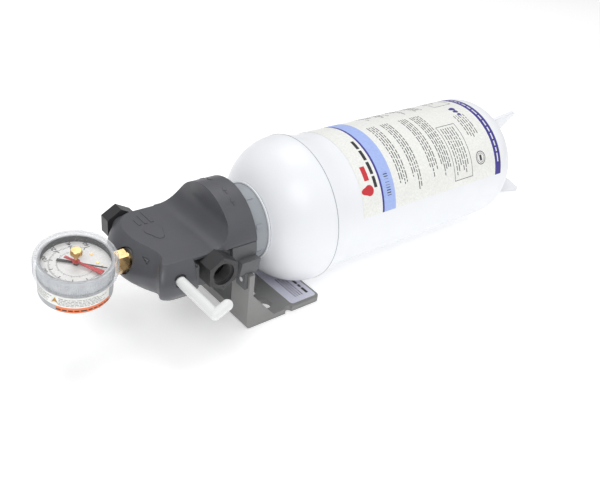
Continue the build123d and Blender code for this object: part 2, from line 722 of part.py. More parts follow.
def make_gauge_lens():
    body = ring(LENS_R, CASE_LIP_R, LENS_SKIRT_Z, LENS_TOP - 1)
    body += ring(LENS_R - 0.6, CASE_LIP_R - 1.6, LENS_TOP - 2, LENS_TOP)
    body += cyl_z(CASE_LIP_R, PANE_Z0, PANE_Z1)
    return body - cyl_z(STEM_PIN_R + 0.3, PANE_Z0 - 1, LENS_TOP + 1)


def make_dial_ring():
    return ring(DIAL_R - 0.1, DIAL_R - 0.9, DIAL_Z + DIAL_T, PANE_Z0 - 0.3)


def make_gauge_dial():
    body = cyl_z(DIAL_R - 0.1, DIAL_Z, DIAL_Z + DIAL_T) - cyl_z(1.9, DIAL_Z - 1, DIAL_Z + 2)
    for x, y in RIVET_POS:
        body -= cyl_z(0.7, DIAL_Z - 1, DIAL_Z + 2, x, y)
    return body - cyl_z(0.5, DIAL_Z - 1, DIAL_Z + 2, *STOP_PIN_POS)


def make_dial_rivets():
    rivets = []
    top = DIAL_Z + DIAL_T
    for x, y in RIVET_POS:
        rivets.append(cyl_z(0.7, DIAL_Z - 2.2, top, x, y) + cyl_z(RIVET_R, top, top + 0.4, x, y))
    return Compound(children=rivets)


def make_stop_pin():
    return cyl_z(0.5, DIAL_Z, NEEDLE_Z + NEEDLE_T + 0.3, *STOP_PIN_POS)


def pointer(tail, tip, tail_w, root_w, tip_w, z, thickness, hub_r, bore_r, angle):
    """Flat pointer with a round hub, along local +X before it is turned by angle."""
    outline = ((-tail, -tail_w / 2), (0, -root_w / 2), (tip, -tip_w / 2), (tip, tip_w / 2),
               (0, root_w / 2), (-tail, tail_w / 2))
    blade = extrude(make_face(polygon_edges(outline)), thickness)
    body = blade + cyl_z(hub_r, 0, thickness) - cyl_z(bore_r, -1, thickness + 1)
    return Rot(0, 0, angle) * Pos(0, 0, z) * body


def make_pressure_needle():
    return pointer(13.0, 21.0, 2.4, 1.6, 0.4, NEEDLE_Z, NEEDLE_T, 2.0, 0.7, NEEDLE_DEG)


def make_set_pointer():
    return pointer(9.0, 20.6, 2.2, 1.4, 4.4, SET_Z, NEEDLE_T, 2.6, 0.9, SET_DEG)


def make_set_knob():
    head = cyl_z(KNOB_R, KNOB_Z0, KNOB_TOP)
    rim = head.edges().group_by(Axis.Z)[-1]
    head = chamfer(rim, 0.4)
    stem = cyl_z(STEM_PIN_R, PANE_Z0 - 0.6, KNOB_Z0)
    shoulder = cyl_z(2.3, LENS_TOP - 0.3, KNOB_Z0)
    return head + stem + shoulder + cyl_z(0.85, SET_Z, PANE_Z0)


def make_gauge_socket():
    """Brass block inside the case, hexagon outside it and threaded stub into the head."""
    body = box(8, 21, -BLOCK_HALF, BLOCK_HALF, -4.0, 4.0)
    body += cyl_x(SOCKET_NECK_R, 20, SOCKET_HEX_X0 + 1, 0, 0)
    flats = Plane.YZ * RegularPolygon(SOCKET_HEX_R, 6)
    body += Pos(SOCKET_HEX_X0, 0, 0) * extrude(flats, SOCKET_HEX_X1 - SOCKET_HEX_X0)
    body += cyl_x(SOCKET_THREAD_R - 0.05, SOCKET_HEX_X1 - 1, SOCKET_END_X, 0, 0)
    body -= cyl_x(1.6, 12, SOCKET_END_X + 1, 0, 0)
    return body


def make_movement_plates():
    plates = []
    for z in PLATE_Z:
        plate = Pos(-1.5, 0, z) * extrude(RectangleRounded(28, 13, 3), PLATE_T)
        plate -= cyl_z(0.9, z - 1, z + 2)
        plate -= cyl_z(0.9, z - 1, z + 2, *SECTOR_PIVOT)
        plate -= box(7.9, 20, -8, 8, z - 1, z + 2) if z < 4 else box(12, 20, -8, 8, z - 1, z + 2)
        plates.append(plate)
    return Compound(children=plates)


def make_plate_pillars():
    pillars = []
    for x, y in PILLAR_POS:
        pillars.append(cyl_z(PILLAR_R, PLATE_Z[0] + PLATE_T, PLATE_Z[1], x, y))
    return Compound(children=pillars)


def make_sector_gear():
    pivot = cyl_z(0.7, PLATE_Z[0] - 0.4, PLATE_Z[1] + PLATE_T + 0.4)
    hub = cyl_z(1.7, SECTOR_Z - 1, SECTOR_Z + 2)
    fan = sector(1.0, SECTOR_R, SECTOR_START_DEG, SECTOR_SWEEP_DEG, SECTOR_Z, SECTOR_Z + 1)
    tail = box(-SECTOR_TAIL - 0.9, 0, -0.9, 0.9, SECTOR_Z, SECTOR_Z + 1)
    return Pos(*SECTOR_PIVOT) * (pivot + hub + fan + tail)


def make_pinion_shaft():
    shaft = cyl_z(0.6, PLATE_Z[0] - 0.4, NEEDLE_Z + NEEDLE_T + 0.2)
    return shaft + cyl_z(PINION_R, SECTOR_Z - 0.4, SECTOR_Z + 1.4)


def make_hairspring():
    turns = 4
    inner_r = 1.3
    pitch = 0.75
    coil = None
    for turn in range(turns):
        radius = inner_r + pitch * turn
        hoop = ring(radius + 0.12, radius - 0.12, 4.6, 5.2)
        spoke = box(radius, radius + pitch, -0.12, 0.12, 4.6, 5.2) if turn < turns - 1 else None
        coil = hoop if coil is None else coil + hoop
        coil = coil + spoke if spoke else coil
    return coil + box(inner_r + pitch * 3, 6.2, -0.12, 0.12, 4.6, 5.2)


def make_bourdon_tube():
    """Flattened tube bent round the movement, ending at the socket block."""
    r_in = TUBE_MEAN_R - TUBE_W / 2
    r_out = TUBE_MEAN_R + TUBE_W / 2
    wall = 0.5
    outer = sector(r_in, r_out, TUBE_START_DEG, TUBE_SWEEP_DEG, -TUBE_H / 2, TUBE_H / 2)
    inner = sector(r_in + wall, r_out - wall, TUBE_START_DEG + 2, TUBE_SWEEP_DEG - 4,
                   -TUBE_H / 2 + wall, TUBE_H / 2 - wall)
    return outer - inner


def make_gauge_link():
    """Link from the sector's tail to the free end of the bent tube."""
    bar = box(-0.8, 0.8, 0, LINK_L, LINK_Z, LINK_Z + 0.6)
    eye = cyl_z(1.2, LINK_Z, LINK_Z + 0.6)
    pin = cyl_z(0.5, SECTOR_Z + 1, LINK_Z)
    return Pos(SECTOR_PIVOT[0] - SECTOR_TAIL, 0, 0) * (bar + eye + pin + Pos(0, LINK_L, 0) * eye)


def make_case_screws():
    screws = []
    for y in (-7.0, 7.0):
        screws.append(cyl_z(2.0, CASE_Z0 - 1.0, CASE_Z0, 12, y))
    return Compound(children=screws)


def make_gauge_label():
    return sector(CASE_R, CASE_R + 0.2, -200, 143, BAND_Z1, LABEL_BAND_Z1)


def make_gauge_band():
    return sector(CASE_R, CASE_R + 0.2, -144, 87, BAND_Z0, BAND_Z1)


GAUGE_PLACE = Pos(GAUGE_X, 0, GAUGE_Z) * Rot(GAUGE_TILT_DEG, 0, 0)

NODES = {
    "wall_bracket": make_wall_bracket,
    "bracket_label": make_bracket_label,
    "bracket_screws": make_bracket_screws,
    "head_manifold": make_head_manifold,
    "near_port_fitting": lambda: make_port_fitting(-1, PORT_X, PORT_ROOT_Y, PORT_FACE_Y),
    "far_port_fitting": lambda: make_port_fitting(1, VALVE_X, FAR_PORT_ROOT_Y, FAR_PORT_FACE_Y),
    "head_cover": make_head_cover,
    "cover_screws": make_cover_screws,
    "valve_plug": make_valve_plug,
    "plug_o_rings": make_plug_rings,
    "valve_lever": make_valve_lever,
    "valve_gland": make_valve_gland,
    "shutoff_sleeve": make_shutoff_sleeve,
    "neck_collar": make_neck_collar,
    "cartridge_dome": make_cartridge_dome,
    "cartridge_shell": make_cartridge_shell,
    "outlet_stem": make_outlet_stem,
    "stem_o_rings": make_stem_rings,
    "top_end_cap": lambda: make_end_cap(BLOCK_X0 - CAP_T, BLOCK_X0, STEM_BORE_R),
    "carbon_block": lambda: make_tube(BLOCK_R, CORE_R),
    "core_tube": make_core_tube,
    "block_wrap": lambda: make_tube(BLOCK_R + WRAP_T, BLOCK_R),
    "bottom_end_cap": lambda: make_end_cap(BLOCK_X1, BLOCK_X1 + CAP_T, 0),
    "cartridge_label": make_cartridge_label,
}

GAUGE_NODES = {
    "gauge_case": make_gauge_case,
    "lens_gasket": make_lens_gasket,
    "gauge_lens": make_gauge_lens,
    "dial_ring": make_dial_ring,
    "gauge_dial": make_gauge_dial,
    "dial_rivets": make_dial_rivets,
    "stop_pin": make_stop_pin,
    "pressure_needle": make_pressure_needle,
    "set_pointer": make_set_pointer,
    "set_knob": make_set_knob,
    "gauge_socket": make_gauge_socket,
    "movement_plates": make_movement_plates,
    "plate_pillars": make_plate_pillars,
    "sector_gear": make_sector_gear,
    "pinion_shaft": make_pinion_shaft,
    "hairspring": make_hairspring,
    "bourdon_tube": make_bourdon_tube,
    "gauge_link": make_gauge_link,
    "case_screws": make_case_screws,
    "gauge_label": make_gauge_label,
    "gauge_band": make_gauge_band,
}

os.makedirs("parts", exist_ok=True)
for name, build in NODES.items():
    export_step(build(), f"parts/{name}.step")
for name, build in GAUGE_NODES.items():
    export_step(GAUGE_PLACE * build(), f"parts/{name}.step")
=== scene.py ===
import json
import random
from math import ceil, cos, pi, radians, sin, sqrt

import bpy
from mathutils import Matrix, Vector


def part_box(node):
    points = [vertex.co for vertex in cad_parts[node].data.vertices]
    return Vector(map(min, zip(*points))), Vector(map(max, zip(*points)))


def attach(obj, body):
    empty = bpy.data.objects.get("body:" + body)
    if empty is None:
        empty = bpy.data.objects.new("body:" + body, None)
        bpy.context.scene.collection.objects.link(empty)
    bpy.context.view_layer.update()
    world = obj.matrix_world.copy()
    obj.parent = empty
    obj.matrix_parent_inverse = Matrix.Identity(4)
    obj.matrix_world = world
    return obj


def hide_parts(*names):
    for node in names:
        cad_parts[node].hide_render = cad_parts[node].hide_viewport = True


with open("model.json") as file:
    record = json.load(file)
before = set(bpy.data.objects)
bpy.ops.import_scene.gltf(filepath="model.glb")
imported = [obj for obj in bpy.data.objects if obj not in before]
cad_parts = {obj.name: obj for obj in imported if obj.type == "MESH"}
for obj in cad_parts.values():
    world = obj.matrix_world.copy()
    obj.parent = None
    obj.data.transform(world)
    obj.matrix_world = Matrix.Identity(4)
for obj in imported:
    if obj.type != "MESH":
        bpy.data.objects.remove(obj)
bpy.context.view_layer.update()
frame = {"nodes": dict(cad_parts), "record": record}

# Looks of a valved water filter. Sizes are in millimetres until a mesh is written.
MM = 0.001

# ---- frames of the two round bodies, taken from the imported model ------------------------
JOINTS = {joint["name"]: joint for joint in frame["record"]["behaviour"]["joints"]}
MOUNTS = {mount["name"]: mount for mount in frame["record"]["mounts"]}
AXIS_Z = JOINTS["cartridge_turn"]["pos_m"][2] / MM


def node_box(node):
    """Lowest and highest corner of a CAD node, in millimetres."""
    low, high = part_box(node)
    return low / MM, high / MM


def frame_matrix(origin, x_axis, y_axis, z_axis):
    columns = (x_axis, y_axis, z_axis, origin)
    return Matrix([[column[row] for column in columns] for row in range(3)] + [[0, 0, 0, 1]])


def gauge_frame():
    """Frame of the gauge: local Z out of the dial, local X along the head."""
    joint = JOINTS["needle_turn"]
    normal = -Vector(joint["axis"]).normalized()
    along = Vector((1, 0, 0))
    return frame_matrix(Vector(joint["pos_m"]) / MM, along, normal.cross(along), normal)


# Local Z runs along the cartridge and angles start at +Y and turn towards +Z.
WATER = frame_matrix((0, 0, AXIS_Z), (0, 1, 0), (0, 0, 1), (1, 0, 0))
GAUGE = gauge_frame()
ROW = Matrix.Identity(4)


# ---- materials ---------------------------------------------------------------------------
class Recipe:
    """One node material, with short calls for the nodes that every finish shares."""

    def __init__(self, name):
        self.material = bpy.data.materials.new(name)
        self.material.use_nodes = True
        self.tree = self.material.node_tree
        self.shader = self.tree.nodes["Principled BSDF"]
        self.place = self.node("ShaderNodeTexCoord").outputs["Object"]

    def node(self, kind, settings=None, **inputs):
        made = self.tree.nodes.new(kind)
        for key, value in (settings or {}).items():
            setattr(made, key, value)
        for key, value in inputs.items():
            self.feed(made.inputs[key.replace("_", " ")], value)
        return made

    def feed(self, socket, value):
        if isinstance(value, bpy.types.NodeSocket):
            self.tree.links.new(value, socket)
        else:
            socket.default_value = value

    def noise(self, scale, detail=3.0, roughness=0.5, vector=None):
        made = self.node("ShaderNodeTexNoise", Scale=scale, Detail=detail, Roughness=roughness)
        self.feed(made.inputs["Vector"], vector or self.place)
        return made.outputs["Fac"]

    def between(self, factor, low, high, start=0.3, end=0.7):
        made = self.node("ShaderNodeMapRange")
        settings = {"Value": factor, "From Min": start, "From Max": end, "To Min": low, "To Max": high}
        for name, value in settings.items():
            self.feed(made.inputs[name], value)
        return made.outputs["Result"]

    def blend(self, factor, first, second):
        made = self.tree.nodes.new("ShaderNodeMix")
        made.data_type = "RGBA"
        for index, value in ((0, factor), (6, first), (7, second)):
            self.feed(made.inputs[index], value)
        return made.outputs[2]

    def edges(self, width):
        """Rounded normal, and a mask that is 1 on convex and concave edges."""
        rounded = self.node("ShaderNodeBevel", {"samples": 4}, Radius=width * MM).outputs["Normal"]
        flat = self.node("ShaderNodeNewGeometry").outputs["Normal"]
        dot = self.node("ShaderNodeVectorMath", {"operation": "DOT_PRODUCT"})
        self.feed(dot.inputs[0], rounded)
        self.feed(dot.inputs[1], flat)
        return rounded, self.between(dot.outputs["Value"], 1.0, 0.0, 0.8, 0.995)

    def bump(self, height, strength, depth, normal=None):
        made = self.node("ShaderNodeBump", Strength=strength, Distance=depth * MM, Height=height)
        if normal is not None:
            self.feed(made.inputs["Normal"], normal)
        return made.outputs["Normal"]

    def set(self, **inputs):
        for key, value in inputs.items():
            self.feed(self.shader.inputs[key.replace("_", " ")], value)
        return self


def srgb(red, green, blue):
    """Linear colour of an 8-bit display colour."""
    linear = []
    for value in (red, green, blue):
        part = value / 255
        linear.append(part / 12.92 if part <= 0.04045 else ((part + 0.055) / 1.055) ** 2.4)
    return (*linear, 1.0)


def shade(colour, factor):
    return (*(min(1.0, part * factor) for part in colour[:3]), 1.0)


def moulded(name, colour, roughness=0.45, grain=0.25, grain_size=0.5, edge=0.35, mottle=0.06, wear=0.25):
    """Moulded plastic: faint cloudiness, fine surface grain, soft edges that catch more light."""
    recipe = Recipe(name)
    cloud = recipe.noise(30, 4)
    base = recipe.blend(recipe.between(cloud, 0, 1), shade(colour, 1 - mottle), shade(colour, 1 + mottle))
    speck = recipe.between(recipe.noise(1400, 2), 0, 0.35, 0.62, 0.72)
    base = recipe.blend(speck, base, shade(colour, 1 - 3 * mottle))
    rounded, mask = recipe.edges(edge)
    worn = recipe.between(recipe.noise(260, 3), 0, wear, 0.4, 0.65)
    on_edge = recipe.node("ShaderNodeMath", {"operation": "MULTIPLY"})
    recipe.feed(on_edge.inputs[0], mask)
    recipe.feed(on_edge.inputs[1], worn)
    base = recipe.blend(on_edge.outputs[0], base, shade(colour, 1.6))
    rough = recipe.between(recipe.noise(90, 3), roughness - 0.06, roughness + 0.08)
    fine = recipe.noise(1000 / grain_size, 2, 0.6)
    normal = recipe.bump(fine, grain, 0.05, rounded)
    recipe.set(Base_Color=base, Roughness=rough, Normal=normal)
    return recipe.material


def printed(name, colour, roughness=0.5):
    """Ink or film: slight density changes and the tooth of the sheet under it."""
    recipe = Recipe(name)
    density = recipe.between(recipe.noise(600, 3), 0, 1)
    base = recipe.blend(density, shade(colour, 0.93), shade(colour, 1.06))
    rough = recipe.between(recipe.noise(150, 2), roughness - 0.06, roughness + 0.06)
    normal = recipe.bump(recipe.noise(1800, 2), 0.12, 0.02)
    recipe.set(Base_Color=base, Roughness=rough, Normal=normal)
    return recipe.material


def metal(name, colour, roughness=0.25, scratch=0.3, stretch=(1, 1, 12)):
    """Machined metal: cutter marks, smudges and a little tarnish."""
    recipe = Recipe(name)
    tarnish = recipe.between(recipe.noise(180, 5, 0.65), 0, 0.5, 0.45, 0.7)
    base = recipe.blend(tarnish, colour, shade(colour, 0.55))
    mapping = recipe.node("ShaderNodeMapping", Vector=recipe.place, Scale=stretch)
    marks = recipe.noise(900, 2, 0.5, mapping.outputs["Vector"])
    rough = recipe.between(recipe.noise(240, 3), roughness - 0.07, roughness + 0.14)
    rounded = recipe.edges(0.2)[0]
    normal = recipe.bump(marks, scratch, 0.03, rounded)
    recipe.set(Base_Color=base, Roughness=rough, Normal=normal, Metallic=1.0)
    return recipe.material


def clear(name, opacity, roughness, tint):
    """Clear moulded plastic with fine haze and hairline scratches."""
    recipe = Recipe(name)
    haze = recipe.between(recipe.noise(150, 4), opacity * 0.8, opacity * 1.25)
    rough = recipe.between(recipe.noise(800, 2), roughness, roughness + 0.08)
    normal = recipe.bump(recipe.noise(300, 2), 0.05, 0.03)
    recipe.set(Base_Color=tint, Roughness=rough, Normal=normal, Alpha=haze)
    return recipe.material


def rubber(name):
    recipe = Recipe(name)
    bloom = recipe.between(recipe.noise(400, 4), 0, 0.4, 0.5, 0.75)
    base = recipe.blend(bloom, srgb(22, 22, 23), srgb(60, 60, 60))
    normal = recipe.bump(recipe.noise(2500, 2), 0.3, 0.03)
    recipe.set(Base_Color=base, Roughness=recipe.between(bloom, 0.55, 0.75, 0, 1), Normal=normal)
    return recipe.material


def carbon(name):
    """Sintered carbon grains."""
    recipe = Recipe(name)
    cells = recipe.node("ShaderNodeTexVoronoi", Vector=recipe.place, Scale=900.0).outputs["Distance"]
    base = recipe.blend(recipe.between(cells, 0, 1, 0.1, 0.7), srgb(20, 20, 21), srgb(58, 58, 60))
    rough = recipe.between(cells, 0.6, 0.9, 0, 1)
    recipe.set(Base_Color=base, Roughness=rough, Normal=recipe.bump(cells, 0.8, 0.3))
    return recipe.material


def fibre(name):
    """Spun-bonded sleeve: crossed fibres in a white mat."""
    recipe = Recipe(name)
    mapping = recipe.node("ShaderNodeMapping", Vector=recipe.place, Scale=(1, 6, 6))
    strands = recipe.noise(500, 4, 0.7, mapping.outputs["Vector"])
    base = recipe.blend(recipe.between(strands, 0, 1), srgb(205, 205, 200), srgb(240, 240, 236))
    rough = recipe.between(strands, 0.7, 0.95)
    recipe.set(Base_Color=base, Roughness=rough, Normal=recipe.bump(strands, 0.7, 0.2))
    return recipe.material


FLOOR_GLOW = 0.3


def floor_finish():
    recipe = Recipe("floor_paper")
    tone = recipe.between(recipe.noise(2, 2), 0, 1)
    recipe.set(Base_Color=recipe.blend(tone, srgb(243, 243, 243), srgb(248, 248, 248)), Roughness=0.9,
               Emission_Color=(1.0, 1.0, 1.0, 1.0), Emission_Strength=FLOOR_GLOW)
    return recipe.material


FINISHES = {
    "bracket_plastic": moulded("bracket_plastic", srgb(134, 134, 133), 0.48),
    "label_film": printed("lavender_film", srgb(214, 214, 228), 0.4),
    "manifold_plastic": moulded("manifold_plastic", srgb(88, 90, 92), 0.5),
    "port_plastic": moulded("port_plastic", srgb(46, 46, 48), 0.42, wear=0.12),
    "cover_plastic": moulded("cover_plastic", srgb(80, 81, 86), 0.42, grain=0.3, grain_size=0.7, edge=0.6),
    "lever_plastic": moulded("lever_plastic", srgb(228, 229, 229), 0.32, grain=0.1, mottle=0.02, wear=0.0),
    "valve_plastic": moulded("valve_plastic", srgb(226, 226, 222), 0.4, mottle=0.03),
    "collar_plastic": moulded("collar_plastic", srgb(152, 157, 163), 0.4, mottle=0.04),
    "shell_plastic": moulded("shell_plastic", srgb(236, 238, 242), 0.34, grain=0.12, mottle=0.012, wear=0.0,
                             edge=0.8),
    "case_plastic": moulded("case_plastic", srgb(172, 174, 178), 0.3, grain=0.12, mottle=0.03),
    "film_white": printed("film_white", srgb(236, 237, 233), 0.34),
    "ring_rubber": rubber("ring_rubber"),
    "steel": metal("zinc_steel", (0.62, 0.62, 0.63, 1), 0.3),
    "brass": metal("machined_brass", (0.83, 0.57, 0.27, 1), 0.24),
    "bronze": metal("drawn_bronze", (0.66, 0.40, 0.20, 1), 0.3),
    "carbon": carbon("sintered_carbon"),
    "fibre": fibre("spun_fibre"),
    "dial_paint": printed("dial_paint", srgb(232, 232, 231), 0.55),
    "black_paint": printed("black_paint", srgb(20, 20, 21), 0.45),
    "wall_paint": printed("dial_wall_paint", srgb(58, 60, 62), 0.5),
    "red_paint": printed("red_paint", srgb(190, 26, 34), 0.4),
    "lens_pane": clear("lens_pane", 0.035, 0.03, srgb(255, 255, 255)),
    "lens_rim": clear("lens_rim", 0.36, 0.1, srgb(228, 231, 235)),
    "ink_black": printed("ink_black", srgb(42, 42, 44)),
    "ink_grey": printed("ink_grey", srgb(120, 121, 124)),
    "ink_navy": printed("ink_navy", srgb(58, 50, 138)),
    "ink_blue": printed("ink_light_blue", srgb(165, 185, 238)),
    "ink_red": printed("ink_red", srgb(200, 42, 52)),
    "ink_orange": printed("ink_orange", srgb(238, 128, 78)),
    "ink_ochre": printed("ink_ochre", srgb(176, 138, 58)),
    "ink_white": printed("ink_white", srgb(232, 232, 236)),
}

NODE_FINISH = {
    "bracket_plastic": ("wall_bracket",),
    "label_film": ("bracket_label",),
    "steel": ("bracket_screws", "cover_screws", "case_screws"),
    "manifold_plastic": ("head_manifold",),
    "port_plastic": ("near_port_fitting", "far_port_fitting", "valve_gland"),
    "cover_plastic": ("head_cover",),
    "valve_plastic": ("valve_plug", "shutoff_sleeve"),
    "lever_plastic": ("valve_lever",),
    "ring_rubber": ("plug_o_rings", "stem_o_rings", "lens_gasket"),
    "collar_plastic": ("neck_collar",),
    "shell_plastic": ("cartridge_dome", "cartridge_shell", "outlet_stem", "top_end_cap", "core_tube",
                      "bottom_end_cap"),
    "carbon": ("carbon_block",),
    "fibre": ("block_wrap",),
    "film_white": ("cartridge_label", "gauge_label"),
    "case_plastic": ("gauge_case",),
    "lens_rim": ("gauge_lens",),
    "wall_paint": ("dial_ring",),
    "dial_paint": ("gauge_dial",),
    "brass": ("dial_rivets", "stop_pin", "set_knob", "gauge_socket", "movement_plates", "plate_pillars",
              "sector_gear", "pinion_shaft", "gauge_link"),
    "black_paint": ("pressure_needle",),
    "red_paint": ("set_pointer",),
    "bronze": ("hairspring", "bourdon_tube"),
    "ink_orange": ("gauge_band",),
}


def finish_cad_nodes():
    for finish, nodes in NODE_FINISH.items():
        for node in nodes:
            for material_slot in frame["nodes"][node].material_slots:
                material_slot.material = FINISHES[finish]


# ---- mesh helpers --------------------------------------------------------------------------
class Shape:
    """Vertices and faces of one piece, in millimetres of some local frame."""

    def __init__(self):
        self.verts = []
        self.faces = []

    def add(self, verts, faces):
        base = len(self.verts)
        self.verts.extend(verts)
        self.faces.extend([[base + index for index in face] for face in faces])
        return self


def piece(name, shape, place, finish, body, smooth=True, replaces=()):
    """Write a shape as a Blender object that rides on a body."""
    matrix = place if isinstance(place, Matrix) else ROW
    mesh = bpy.data.meshes.new(name)
    mesh.from_pydata([(matrix @ Vector(vert)) * MM for vert in shape.verts], [], shape.faces)
    mesh.validate()
    mesh.update()
    made = bpy.data.objects.new(name, mesh)
    bpy.context.scene.collection.objects.link(made)
    mesh.materials.append(FINISHES[finish])
    if smooth:
        mesh.shade_smooth()
        mesh.set_sharp_from_angle(angle=radians(35))
    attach(made, body)
    if replaces:
        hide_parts(*replaces)
    return made


def lathe(profile, segments=144, closed=True):
    """Solid of revolution about local Z from (radius, z) points; a radius of 0 closes on the axis."""
    verts = []
    rings = []
    for radius, height in profile:
        start = len(verts)
        if radius <= 0:
            verts.append((0, 0, height))
            rings.append([start] * segments)
            continue
        for step in range(segments):
            angle = 2 * pi * step / segments
            verts.append((radius * cos(angle), radius * sin(angle), height))
        rings.append(list(range(start, start + segments)))
    faces = []
    pairs = list(zip(rings, rings[1:]))
    if closed:
        pairs.append((rings[-1], rings[0]))
    for low, high in pairs:
        for step in range(segments):
            after = (step + 1) % segments
            corners = [low[step], low[after], high[after], high[step]]
            unique = list(dict.fromkeys(corners))
            if len(unique) > 2:
                faces.append(unique)
    return Shape().add(verts, faces)


def arc(centre, radius, start_deg, end_deg, steps):
    """Points on an arc in a (radius, z) or flat (u, v) plane."""
    points = []
    for step in range(steps + 1):
        angle = radians(start_deg + (end_deg - start_deg) * step / steps)
        points.append((centre[0] + radius * cos(angle), centre[1] + radius * sin(angle)))
    return points


def bar(u0, u1, v0, v1, step=3.0):
    """Rectangle as a grid fine enough to bend round a cylinder."""
    columns = max(1, ceil((u1 - u0) / step))
    rows = max(1, ceil((v1 - v0) / step))
    points = []
    for row in range(rows + 1):
        for column in range(columns + 1):
            points.append((u0 + (u1 - u0) * column / columns, v0 + (v1 - v0) * row / rows))
    faces = []
    for row in range(rows):
        for column in range(columns):
            corner = row * (columns + 1) + column
            faces.append([corner, corner + 1, corner + columns + 2, corner + columns + 1])
    return points, faces


def blob(outline, centre):
    """Fan from a centre to a closed outline."""
    points = [centre] + outline
    count = len(outline)
    faces = [[0, 1 + index, 1 + (index + 1) % count] for index in range(count)]
    return points, faces


def disc(u, v, radius, steps=28):
    return blob(arc((u, v), radius, 0, 360, steps)[:-1], (u, v))


def loop(u, v, outer, inner, steps=36):
    """Flat ring."""
    points = arc((u, v), outer, 0, 360, steps)[:-1] + arc((u, v), inner, 0, 360, steps)[:-1]
    faces = []
    for step in range(steps):
        after = (step + 1) % steps
        faces.append([step, after, steps + after, steps + step])
    return points, faces


def drop(u, v, size, turn_deg):
    """Water drop with its point turned to turn_deg."""
    turn = radians(turn_deg)
    outline = []
    for step in range(36):
        angle = 2 * pi * step / 36
        reach = size * 0.5 * (1 + 0.9 * max(0, cos(angle)) ** 9)
        outline.append((u + reach * cos(angle + turn), v + reach * sin(angle + turn)))
    return blob(outline, (u, v))


def turned_sheet(sheet, centre, turn_deg):
    """A flat sheet turned about a point."""
    points, faces = sheet
    turn = radians(turn_deg)
    moved = []
    for u, v in points:
        du = u - centre[0]
        dv = v - centre[1]
        turned_u = du * cos(turn) - dv * sin(turn)
        turned_v = du * sin(turn) + dv * cos(turn)
        moved.append((centre[0] + turned_u, centre[1] + turned_v))
    return moved, faces


def thicken(sheets, surface, low, high):
    """Closed thin solids over flat sheets; surface(u, v, height) gives the place of a point."""
    shape = Shape()
    for points, faces in sheets:
        count = len(points)
        verts = [surface(u, v, high) for u, v in points] + [surface(u, v, low) for u, v in points]
        solid = list(faces) + [[index + count for index in reversed(face)] for face in faces]
        edges = [(face[index - 1], face[index]) for face in faces for index in range(len(face))]
        known = set(edges)
        for first, second in edges:
            if (second, first) not in known:
                solid.append([second, first, first + count, second + count])
        shape.add(verts, solid)
    return shape


def flat_on(height):
    """Surface map for prints on a face across local Z."""
    def surface(u, v, lift):
        return (u, v, height + lift)
    return surface


def round_on(radius):
    """Surface map for prints on a cylinder: u along the axis, v along the arc in millimetres."""
    def surface(u, v, lift):
        angle = v / radius
        reach = radius + lift
        return (reach * cos(angle), reach * sin(angle), u)
    return surface


INK_T = 0.04
PRINT_LOW = 0.0
PRINT_HIGH = 0.05


def words(rng, start, end, shortest, longest, gap):
    """Spans of generic dashes that fill a line."""
    spans = []
    place = start
    while place < end - shortest:
        length = min(rng.uniform(shortest, longest), end - place)
        spans.append((place, place + length))
        place += length + gap
    return spans


def text_lines(rng, u_lines, v0, v1, height, shortest=1.6, longest=7.0, gap=1.1, ragged=0.25):
    """Rows of dashes that stand for small print, running along v."""
    sheets = []
    for u in u_lines:
        end = v1 - rng.uniform(0, ragged) * (v1 - v0)
        for low, high in words(rng, v0, end, shortest, longest, gap):
            sheets.append(bar(u - height / 2, u + height / 2, low, high))
    return sheets


# ---- cartridge -------------------------------------------------------------------------------
LABEL_LOW, LABEL_HIGH = node_box("cartridge_label")
LABEL_R = LABEL_HIGH[2] - AXIS_Z
LABEL_START_DEG = -80.0
LABEL_END_DEG = 170.0
LABEL_EDGE = 1.5
STRIPE_X = 21.0
STRIPE_W = 2.0
BLUE_BAND_W = 13.0
NAVY_BAND_W = 8.0
LINE_PITCH = 2.6
SMALL_PRINT_H = 0.9
BOX_LINE_W = 0.5


def label_v(angle_deg):
    """Arc length on the label at an angle from +Y towards +Z."""
    return radians(angle_deg) * LABEL_R


def band_on_label(x0, x1, start_deg=LABEL_START_DEG, end_deg=LABEL_END_DEG):
    return bar(x0, x1, label_v(start_deg), label_v(end_deg), 2.0)


def on_label(name, sheets, finish):
    shape = thicken(sheets, round_on(LABEL_R), PRINT_LOW, PRINT_HIGH)
    return piece(name, shape, WATER, finish, "cartridge")


def make_label_film():
    """Film of the label, smooth round the cartridge."""
    x0 = LABEL_LOW[0]
    x1 = LABEL_HIGH[0]
    sheet = bar(x0, x1, label_v(LABEL_START_DEG), label_v(LABEL_END_DEG), 1.6)
    shape = thicken([sheet], round_on(LABEL_R), -0.2, 0.0)
    return piece("label_film", shape, WATER, "film_white", "cartridge",
                 replaces=("cartridge_label",))


def make_label_bands():
    x0 = LABEL_LOW[0]
    x1 = LABEL_HIGH[0]
    band_x = x0 + STRIPE_X + STRIPE_W
    end_x = x1 - LABEL_EDGE
    on_label("label_navy_stripe", [band_on_label(x0 + STRIPE_X, band_x)], "ink_navy")
    on_label("label_blue_band", [band_on_label(band_x, band_x + BLUE_BAND_W)], "ink_blue")
    on_label("label_navy_band", [band_on_label(end_x - NAVY_BAND_W, end_x)], "ink_navy")
    rng = random.Random(11)
    dash_x = end_x - NAVY_BAND_W / 2
    dashes = text_lines(rng, [dash_x], label_v(-74), label_v(160), 1.5, 2.0, 8.0, 1.6, 0)
    shape = thicken(dashes, round_on(LABEL_R + PRINT_HIGH), PRINT_LOW, PRINT_HIGH)
    piece("label_band_dashes", shape, WATER, "ink_white", "cartridge")


